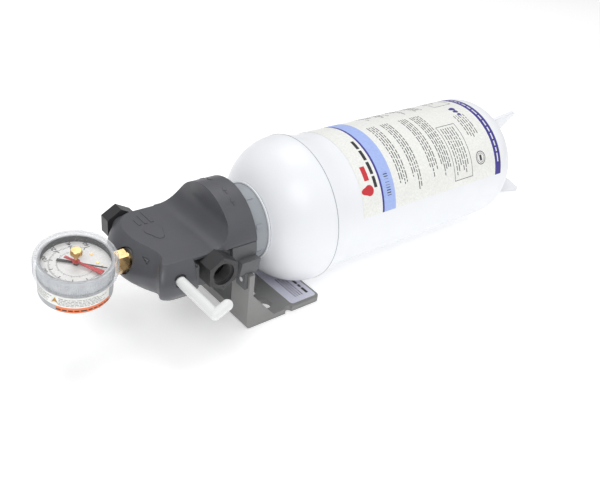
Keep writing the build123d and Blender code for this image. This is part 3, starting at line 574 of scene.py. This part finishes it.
def make_label_marks():
    x0 = LABEL_LOW[0]
    rng = random.Random(5)
    heading = label_v(149)
    sheets = [drop(x0 + 9, heading, 9, 180), bar(x0 + 6.5, x0 + 11.5, heading - 20, heading - 8)]
    on_label("label_red_mark", sheets, "ink_red")
    large = text_lines(rng, [x0 + 16.5], label_v(104), label_v(156), 3.2, 4, 11, 1.8, 0.1)
    large += text_lines(rng, [x0 + 29.5], label_v(138), label_v(162), 4.4, 4, 7, 1.6, 0.0)
    on_label("label_heading", large, "ink_black")
    small = []
    for start in (x0 + 44, x0 + 60, x0 + 82, x0 + 96):
        rows = [start + LINE_PITCH * index for index in range(4 if start < x0 + 90 else 5)]
        small += text_lines(rng, rows, label_v(92), label_v(162), SMALL_PRINT_H)
    for start in (x0 + 58, x0 + 74, x0 + 92, x0 + 112):
        rows = [start + LINE_PITCH * index for index in range(5)]
        small += text_lines(rng, rows, label_v(20), label_v(84), SMALL_PRINT_H)
    for start in (x0 + 45, x0 + 70, x0 + 100, x0 + 130):
        rows = [start + LINE_PITCH * index for index in range(7)]
        small += text_lines(rng, rows, label_v(-70), label_v(8), SMALL_PRINT_H)
    on_label("label_small_lines", small, "ink_black")


def frame_sheets(u0, u1, v0, v1, width):
    """Four bars that outline a box."""
    return [
        bar(u0, u1, v0, v0 + width),
        bar(u0, u1, v1 - width, v1),
        bar(u0, u0 + width, v0 + width, v1 - width),
        bar(u1 - width, u1, v0 + width, v1 - width),
    ]


def make_label_boxes():
    x0 = LABEL_LOW[0]
    sheets = frame_sheets(x0 + 110, x0 + 134, label_v(112), label_v(164), BOX_LINE_W)
    sheets += frame_sheets(x0 + 138, x0 + 160, label_v(20), label_v(84), BOX_LINE_W)
    sheets += [loop(x0 + 147, label_v(150), 6.2, 5.5), loop(x0 + 147, label_v(150), 4.4, 4.0)]
    sheets += [bar(x0 + 145.6, x0 + 148.4, label_v(150) - 2.6, label_v(150) + 2.6)]
    rng = random.Random(21)
    rows = [x0 + 114 + 3 * index for index in range(6)]
    sheets += text_lines(rng, rows, label_v(115), label_v(161), SMALL_PRINT_H)
    rows = [x0 + 142 + 3 * index for index in range(5)]
    sheets += text_lines(rng, rows, label_v(104), label_v(134), SMALL_PRINT_H)
    sheets += text_lines(rng, rows, label_v(24), label_v(80), SMALL_PRINT_H)
    on_label("label_boxed_lines", sheets, "ink_black")
    drops = [drop(x0 + 151, label_v(94) + 4.6 * index, 5.2 - index, 180) for index in range(3)]
    on_label("label_drop_marks", drops, "ink_navy")


def make_seam():
    """Weld bead where the dome meets the shell."""
    dome = node_box("cartridge_dome")
    seam_x = dome[1][0]
    radius = (dome[1][2] - dome[0][2]) / 2
    profile = [(radius - 0.8, seam_x - 0.5), (radius + 0.12, seam_x - 0.35), (radius + 0.2, seam_x),
               (radius - 0.15, seam_x + 0.4), (radius - 0.8, seam_x + 0.6)]
    piece("weld_seam", lathe(profile, 192), WATER, "collar_plastic", "cartridge")


# Outer radius of the white ring that paints a highlight on the neck collar's rim.
PAINTED_RIM_HIGHLIGHT_R = 31.9


def make_painted_rim_highlight():
    """White ring over the grey rim of the neck collar, by the dome: a painted highlight along the rim's edge.
    """
    dome_x0 = node_box("cartridge_dome")[0][0]
    inner_r = PAINTED_RIM_HIGHLIGHT_R - 1.2
    profile = [
        (inner_r, dome_x0 - 1.9),
        (PAINTED_RIM_HIGHLIGHT_R, dome_x0 - 1.6),
        (PAINTED_RIM_HIGHLIGHT_R, dome_x0 - 0.5),
        (inner_r, dome_x0 - 0.3),
    ]
    # The white shell plastic on the collar's grey rim is a painted highlight.
    piece("painted_rim_highlight", lathe(profile, 144), WATER, "shell_plastic", "cartridge")


def make_cartridge():
    make_painted_rim_highlight()
    make_label_film()
    make_label_bands()
    make_label_marks()
    make_label_boxes()
    make_seam()


# ---- gauge -------------------------------------------------------------------------------------
def local_range(node, matrix):
    """Lowest and highest radius and height of a node in a turned frame."""
    inverse = matrix.inverted()
    radii = []
    heights = []
    for vert in frame["nodes"][node].data.vertices:
        place = inverse @ (vert.co / MM)
        radii.append(sqrt(place[0] ** 2 + place[1] ** 2))
        heights.append(place[2])
    return min(radii), max(radii), min(heights), max(heights)


LENS_RIBS = 150
RIB_STEPS = 4
RIB_HEIGHT = 0.28


def make_lens():
    """Clear screw-on lens: a ring with fine grip ribs, a raised lip and a flat pane."""
    outer, low, high = local_range("gauge_lens", GAUGE)[1:]
    case_r = local_range("gauge_case", GAUGE)[1]
    bore = case_r + 0.05
    lip = outer - 0.7
    segments = LENS_RIBS * RIB_STEPS
    profile = [(bore, low), (outer - 0.5, low), (outer - 0.15, low + 0.4), (outer - 0.15, high - 2.4),
               (outer - 0.35, high - 1.6), (lip, high - 0.5), (lip - 0.5, high), (lip - 1.5, high),
               (lip - 1.9, high - 0.5), (lip - 2.0, high - 0.9), (bore - 2.3, high - 2.2), (bore, high - 2.8)]
    shape = lathe(profile, segments)
    ribbed = []
    for index, (x, y, z) in enumerate(shape.verts):
        ring = index // segments
        step = index % segments
        grow = RIB_HEIGHT if ring in (2, 3) and step % RIB_STEPS in (0, 1) else 0.0
        radius = sqrt(x * x + y * y)
        factor = (radius + grow - RIB_HEIGHT / 2 * (ring in (2, 3))) / radius
        ribbed.append((x * factor, y * factor, z))
    shape.verts = ribbed
    piece("lens_rim", shape, GAUGE, "lens_rim", "head", replaces=("gauge_lens",))
    hole = 1.8
    pane = [(hole, high - 2.0), (bore - 2.2, high - 2.0), (bore - 1.9, high - 1.4), (lip - 2.1, high - 0.8),
            (hole + 0.3, high - 0.8), (hole, high - 1.0)]
    piece("lens_pane", lathe(pane), GAUGE, "lens_pane", "head")


DIAL_ZERO_DEG = -58.0
DIAL_STEP_DEG = -32.0
DIAL_COUNT = 9
DIAL_UNIT = 20
OUTER_SCALE_R = 18.3
INNER_SCALE_R = 12.0
INNER_SCALE_STEPS = 55
NUMERAL_R = 20.8
NUMERAL_HEIGHT = 4.3
NUMERAL_SWELL = 0.07


def radial_bar(angle_deg, inner, outer, width):
    """Tick along a radius."""
    sheet = bar(inner, outer, -width / 2, width / 2)
    return turned_sheet(sheet, (0, 0), angle_deg)


def dial_top():
    return local_range("gauge_dial", GAUGE)[3]


def make_dial_ticks():
    top = dial_top()
    outer_sheets = []
    inner_sheets = []
    for index in range((DIAL_COUNT - 1) * 10 + 1):
        angle = DIAL_ZERO_DEG + DIAL_STEP_DEG * index / 10
        long_tick = index % 10 == 0
        middle = index % 5 == 0
        length = 2.7 if long_tick else 1.7 if middle else 1.1
        width = 0.6 if long_tick else 0.3
        outer_sheets.append(radial_bar(angle, OUTER_SCALE_R - length, OUTER_SCALE_R, width))
    for index in range(INNER_SCALE_STEPS + 1):
        angle = DIAL_ZERO_DEG + DIAL_STEP_DEG * (DIAL_COUNT - 1) * index / INNER_SCALE_STEPS
        length = 1.6 if index % 5 == 0 else 0.9
        inner_sheets.append(radial_bar(angle, INNER_SCALE_R, INNER_SCALE_R + length, 0.28))
    surface = flat_on(top)
    for name, sheets in (("dial_scale_outer", outer_sheets), ("dial_scale_inner", inner_sheets)):
        shape = thicken(sheets, surface, 0, INK_T)
        piece(name, shape, GAUGE, "ink_black", "head")


def numeral_shape(text, height):
    """Outline of a number as a thin solid, centred on the origin."""
    curve = bpy.data.curves.new("numeral", "FONT")
    curve.body = text
    curve.size = height
    curve.align_x = "CENTER"
    curve.align_y = "CENTER"
    curve.extrude = 0.02
    curve.offset = NUMERAL_SWELL
    curve.resolution_u = 3
    holder = bpy.data.objects.new("numeral", curve)
    bpy.context.scene.collection.objects.link(holder)
    bpy.context.view_layer.update()
    mesh = bpy.data.meshes.new_from_object(holder.evaluated_get(bpy.context.evaluated_depsgraph_get()))
    verts = [tuple(vert.co) for vert in mesh.vertices]
    faces = [list(polygon.vertices) for polygon in mesh.polygons]
    bpy.data.objects.remove(holder)
    bpy.data.curves.remove(curve)
    bpy.data.meshes.remove(mesh)
    return verts, faces


def make_dial_numbers():
    """Numbers clockwise round the dial, upright when local -X is up."""
    top = dial_top() + 0.02
    shape = Shape()
    for index in range(DIAL_COUNT):
        angle = radians(DIAL_ZERO_DEG + DIAL_STEP_DEG * index)
        verts, faces = numeral_shape(str(index * DIAL_UNIT), NUMERAL_HEIGHT)
        centre = (NUMERAL_R * cos(angle), NUMERAL_R * sin(angle))
        moved = [(centre[0] - y, centre[1] + x, top + z) for x, y, z in verts]
        shape.add(moved, faces)
    piece("dial_numbers", shape, GAUGE, "ink_black", "head", smooth=False)


def make_case_print():
    """Small print on the gauge's wrapped label and orange band."""
    rng = random.Random(3)
    radius, low, high = local_range("gauge_label", GAUGE)[1:]

    def arc_v(angle_deg):
        return radians(angle_deg) * radius

    rows = [low + 1.6 + 1.35 * index for index in range(5)]
    lines = text_lines(rng, rows, arc_v(-140), arc_v(-62), 0.5, 0.8, 3.2, 0.6)
    lines += text_lines(rng, rows, arc_v(-192), arc_v(-150), 0.5, 0.8, 3.2, 0.6)
    shape = thicken(lines, round_on(radius), 0, INK_T)
    piece("case_print_lines", shape, GAUGE, "ink_grey", "head")
    middle = (low + high) / 2
    mark_v = arc_v(-146)
    corners = [(middle - 2.6, mark_v - 2.6), (middle + 2.6, mark_v), (middle - 2.6, mark_v + 2.6)]
    shape = thicken([blob(corners, (middle - 0.8, mark_v))], round_on(radius), 0, INK_T)
    piece("case_print_mark", shape, GAUGE, "ink_ochre", "head")
    band_r, band_low, band_high = local_range("gauge_band", GAUGE)[1:]
    centre = (band_low + band_high) / 2
    dashes = text_lines(rng, [centre - 0.5], arc_v(-144), arc_v(-56), 1.2, 1.2, 4.5, 0.9, 0)
    shape = thicken(dashes, round_on(band_r), 0, INK_T)
    piece("case_band_dashes", shape, GAUGE, "ink_black", "head")


def make_needle_boss():
    """Domed cap on the needle's hub."""
    hub_r = 2.0
    top = local_range("pressure_needle", GAUGE)[3]
    foot = top - 0.1
    profile = [(0, foot), (hub_r, foot), (hub_r, top + 0.15), (hub_r - 0.3, top + 0.35), (0, top + 0.4)]
    piece("needle_cap", lathe(profile, 48, closed=False), GAUGE, "black_paint", "needle")


KNURL_COUNT = 60


def make_knob_grip():
    """Fine straight knurl round the set knob."""
    radius, knob_top = local_range("set_knob", GAUGE)[1::2]
    shape = Shape()
    half = 0.13
    profile = [(radius - 0.02, -half), (radius + 0.14, 0), (radius - 0.02, half)]
    for index in range(KNURL_COUNT):
        angle = 2 * pi * index / KNURL_COUNT
        ends = []
        for z in (knob_top - 3.8, knob_top - 0.9):
            for reach, side in profile:
                x = reach * cos(angle) - side * sin(angle)
                y = reach * sin(angle) + side * cos(angle)
                ends.append((x, y, z))
        shape.add(ends, [[0, 1, 4, 3], [1, 2, 5, 4], [2, 0, 3, 5], [2, 1, 0], [3, 4, 5]])
    piece("knob_knurl", shape, GAUGE, "brass", "set_hand", smooth=False)


def make_gauge():
    make_lens()
    make_dial_ticks()
    make_dial_numbers()
    make_case_print()
    make_needle_boss()
    make_knob_grip()


# ---- ports and valve -----------------------------------------------------------------------------
THREAD_PITCH = 1.337
THREAD_DEPTH = 0.62
MOUTH_DEPTH = 1.6
DOT_CIRCLE_R = 10.6
DOT_R = 0.55


def port_frame(mount):
    """Frame with local Z out of a port's mouth and its origin at the port's face."""
    axis = Vector(mount["axis"])
    along = Vector((1, 0, 0))
    origin = Vector(mount["pos_m"]) / MM
    fitting = "near_port_fitting" if axis[1] < 0 else "far_port_fitting"
    low, high = node_box(fitting)
    origin[1] = low[1] if axis[1] < 0 else high[1]
    return frame_matrix(origin, along, axis.cross(along), axis)


def thread_shape(radius, top, bottom):
    """Helical ridge standing in from a bore's wall."""
    per_turn = 72
    turns = (top - bottom) / THREAD_PITCH
    count = int(turns * per_turn)
    section = ((0.05, -0.5), (-THREAD_DEPTH, -0.08), (-THREAD_DEPTH, 0.08), (0.05, 0.5))
    verts = []
    for step in range(count + 1):
        angle = 2 * pi * step / per_turn
        z = bottom + THREAD_PITCH * step / per_turn
        for inward, along in section:
            reach = radius + inward
            verts.append((reach * cos(angle), reach * sin(angle), z + along * THREAD_PITCH * 0.9))
    width = len(section)
    faces = []
    for step in range(count):
        for index in range(width):
            after = (index + 1) % width
            base = step * width
            faces.append([base + index, base + after, base + width + after, base + width + index])
    faces.append(list(range(width))[::-1])
    faces.append([count * width + index for index in range(width)])
    return Shape().add(verts, faces)


def make_ports():
    for name in ("near_port", "far_port"):
        mount = MOUNTS[name]
        place = port_frame(mount)
        length = mount["dims"]["length_mm"]
        radius = mount["dims"]["r_mm"]
        shape = thread_shape(radius, -MOUTH_DEPTH - 0.6, -MOUTH_DEPTH - length + 1)
        piece(name + "_thread", shape, place, "port_plastic", "head")
        dots = []
        for index in range(6):
            angle = radians(60 * index + 30)
            dots.append(disc(DOT_CIRCLE_R * cos(angle), DOT_CIRCLE_R * sin(angle), DOT_R, 16))
        shape = thicken(dots, flat_on(0), 0, 0.12)
        piece(name + "_dots", shape, place, "ink_black", "head")


LEVER_ROD_R = 3.85
LEVER_SEAL_REACH = 45.2
SEAL_SECTION_R = 0.75


def make_lever_seal():
    """Rubber ring round the lever where it enters the cover."""
    joint = JOINTS["valve_turn"]
    origin = Vector(joint["pos_m"]) / MM
    axis = Vector(joint["axis"])
    along = Vector((1, 0, 0))
    place = frame_matrix(origin, along, axis.cross(along), axis)
    centre = (LEVER_ROD_R + SEAL_SECTION_R, LEVER_SEAL_REACH)
    profile = arc(centre, SEAL_SECTION_R, 0, 360, 20)[:-1]
    piece("lever_seal", lathe(profile, 72), place, "ring_rubber", "valve")


# ---- head cover ---------------------------------------------------------------------------------
COVER_FLAT_Z = 78.0


def make_cover_marks():
    """Raised drop and bars on the cover's flat, and arrows on its collar."""
    high = node_box("head_cover")[1]
    port_x = MOUNTS["near_port"]["pos_m"][0] / MM
    centre = (port_x - 22, 17.0)
    sheets = [drop(centre[0] - 10, centre[1], 14, 180)]
    for index in range(3):
        sheets.append(bar(centre[0], centre[0] + 17 - 4 * index, centre[1] - 6 + 5 * index,
                          centre[1] - 3.6 + 5 * index))
    shape = thicken([turned_sheet(sheet, centre, 90) for sheet in sheets], flat_on(COVER_FLAT_Z), -0.1, 0.35)
    piece("cover_raised_mark", shape, ROW, "cover_plastic", "head")
    collar_r = high[2] - AXIS_Z
    mid_x = high[0] - 11
    arrows = []
    for angle in (62, 78, 102, 118):
        v = radians(angle) * collar_r
        point = 2.2 if angle < 90 else -2.2
        corners = [(mid_x - 1.6, v - point), (mid_x + 1.6, v - point), (mid_x, v + point)]
        arrows.append(blob(corners, (mid_x, v)))
        shaft = (v - 5, v - 2.2) if point > 0 else (v + 2.2, v + 5)
        arrows.append(bar(mid_x - 0.5, mid_x + 0.5, *shaft))
    shape = thicken(arrows, round_on(collar_r), -0.1, 0.3)
    piece("cover_arrows", shape, WATER, "cover_plastic", "head")


# ---- bracket --------------------------------------------------------------------------------------
def make_bracket_print():
    low, high = node_box("bracket_label")
    surface = flat_on(high[2])
    rng = random.Random(8)
    v0 = low[1] + 6
    sheets = text_lines(rng, [high[0] - 5], v0, v0 + 26, 2.4, 3, 8, 1.4, 0)
    sheets += text_lines(rng, [high[0] - 10 - 2.4 * index for index in range(4)], v0, v0 + 34, 0.8)
    sheets += text_lines(rng, [high[0] - 5 - 2.4 * index for index in range(7)], 8, high[1] - 6, 0.8)
    piece("bracket_print", thicken(sheets, surface, 0, INK_T), ROW, "ink_black", "head")


# ---- stage, light and camera -------------------------------------------------------------------------
CAMERA_PLACE = (-0.3081, -0.4038, 0.3647)
CAMERA_AZIMUTH = radians(-42.28)
CAMERA_ELEVATION = radians(31.49)
CAMERA_ROLL = radians(6.85)
CAMERA_LENS = 44.49


def make_camera():
    back = Vector((sin(CAMERA_AZIMUTH) * cos(CAMERA_ELEVATION), -cos(CAMERA_AZIMUTH) * cos(CAMERA_ELEVATION),
                   sin(CAMERA_ELEVATION)))
    right = Vector((cos(CAMERA_AZIMUTH), sin(CAMERA_AZIMUTH), 0))
    up = back.cross(right)
    x_axis = cos(CAMERA_ROLL) * right + sin(CAMERA_ROLL) * up
    y_axis = cos(CAMERA_ROLL) * up - sin(CAMERA_ROLL) * right
    data = bpy.data.cameras.new("camera")
    data.lens = CAMERA_LENS
    data.sensor_width = 36
    data.clip_start = 0.01
    camera = bpy.data.objects.new("camera", data)
    camera.matrix_world = frame_matrix(CAMERA_PLACE, x_axis, y_axis, back)
    bpy.context.scene.collection.objects.link(camera)
    bpy.context.scene.camera = camera


def make_light(name, place, size, power):
    data = bpy.data.lights.new(name, "AREA")
    data.shape = "SQUARE"
    data.size = size
    data.energy = power
    light = bpy.data.objects.new(name, data)
    light.location = place
    aim = Vector((0.08, 0, 0.06)) - Vector(place)
    light.rotation_euler = aim.to_track_quat("-Z", "Y").to_euler()
    bpy.context.scene.collection.objects.link(light)


FLOOR_HALF = 4.0
FLOOR_Z = -0.0005
WORLD_STRENGTH = 0.46
# name, place in metres, size of the square in metres, watts
LIGHTS = (
    ("key", (-0.9, -0.9, 1.3), 0.8, 11),
    ("fill", (0.9, -0.8, 0.9), 1.2, 3),
    ("top", (0.2, 0.5, 1.5), 1.0, 9.5),
)


def make_stage():
    half = FLOOR_HALF
    corners = [(-half, -half, 0), (half, -half, 0), (half, half, 0), (-half, half, 0)]
    mesh = bpy.data.meshes.new("floor")
    mesh.from_pydata(corners, [], [(0, 1, 2, 3)])
    mesh.materials.append(floor_finish())
    floor = bpy.data.objects.new("floor", mesh)
    floor.location = (0, 0, FLOOR_Z)
    bpy.context.scene.collection.objects.link(floor)
    world = bpy.data.worlds.new("studio")
    world.use_nodes = True
    backdrop = world.node_tree.nodes["Background"]
    backdrop.inputs["Color"].default_value = (1, 1, 1, 1)
    backdrop.inputs["Strength"].default_value = WORLD_STRENGTH
    bpy.context.scene.world = world
    for light in LIGHTS:
        make_light(*light)
    bpy.context.scene.view_settings.view_transform = "Standard"


make_camera()
make_stage()
finish_cad_nodes()
make_cartridge()
make_gauge()
make_ports()
make_lever_seal()
make_cover_marks()
make_bracket_print()
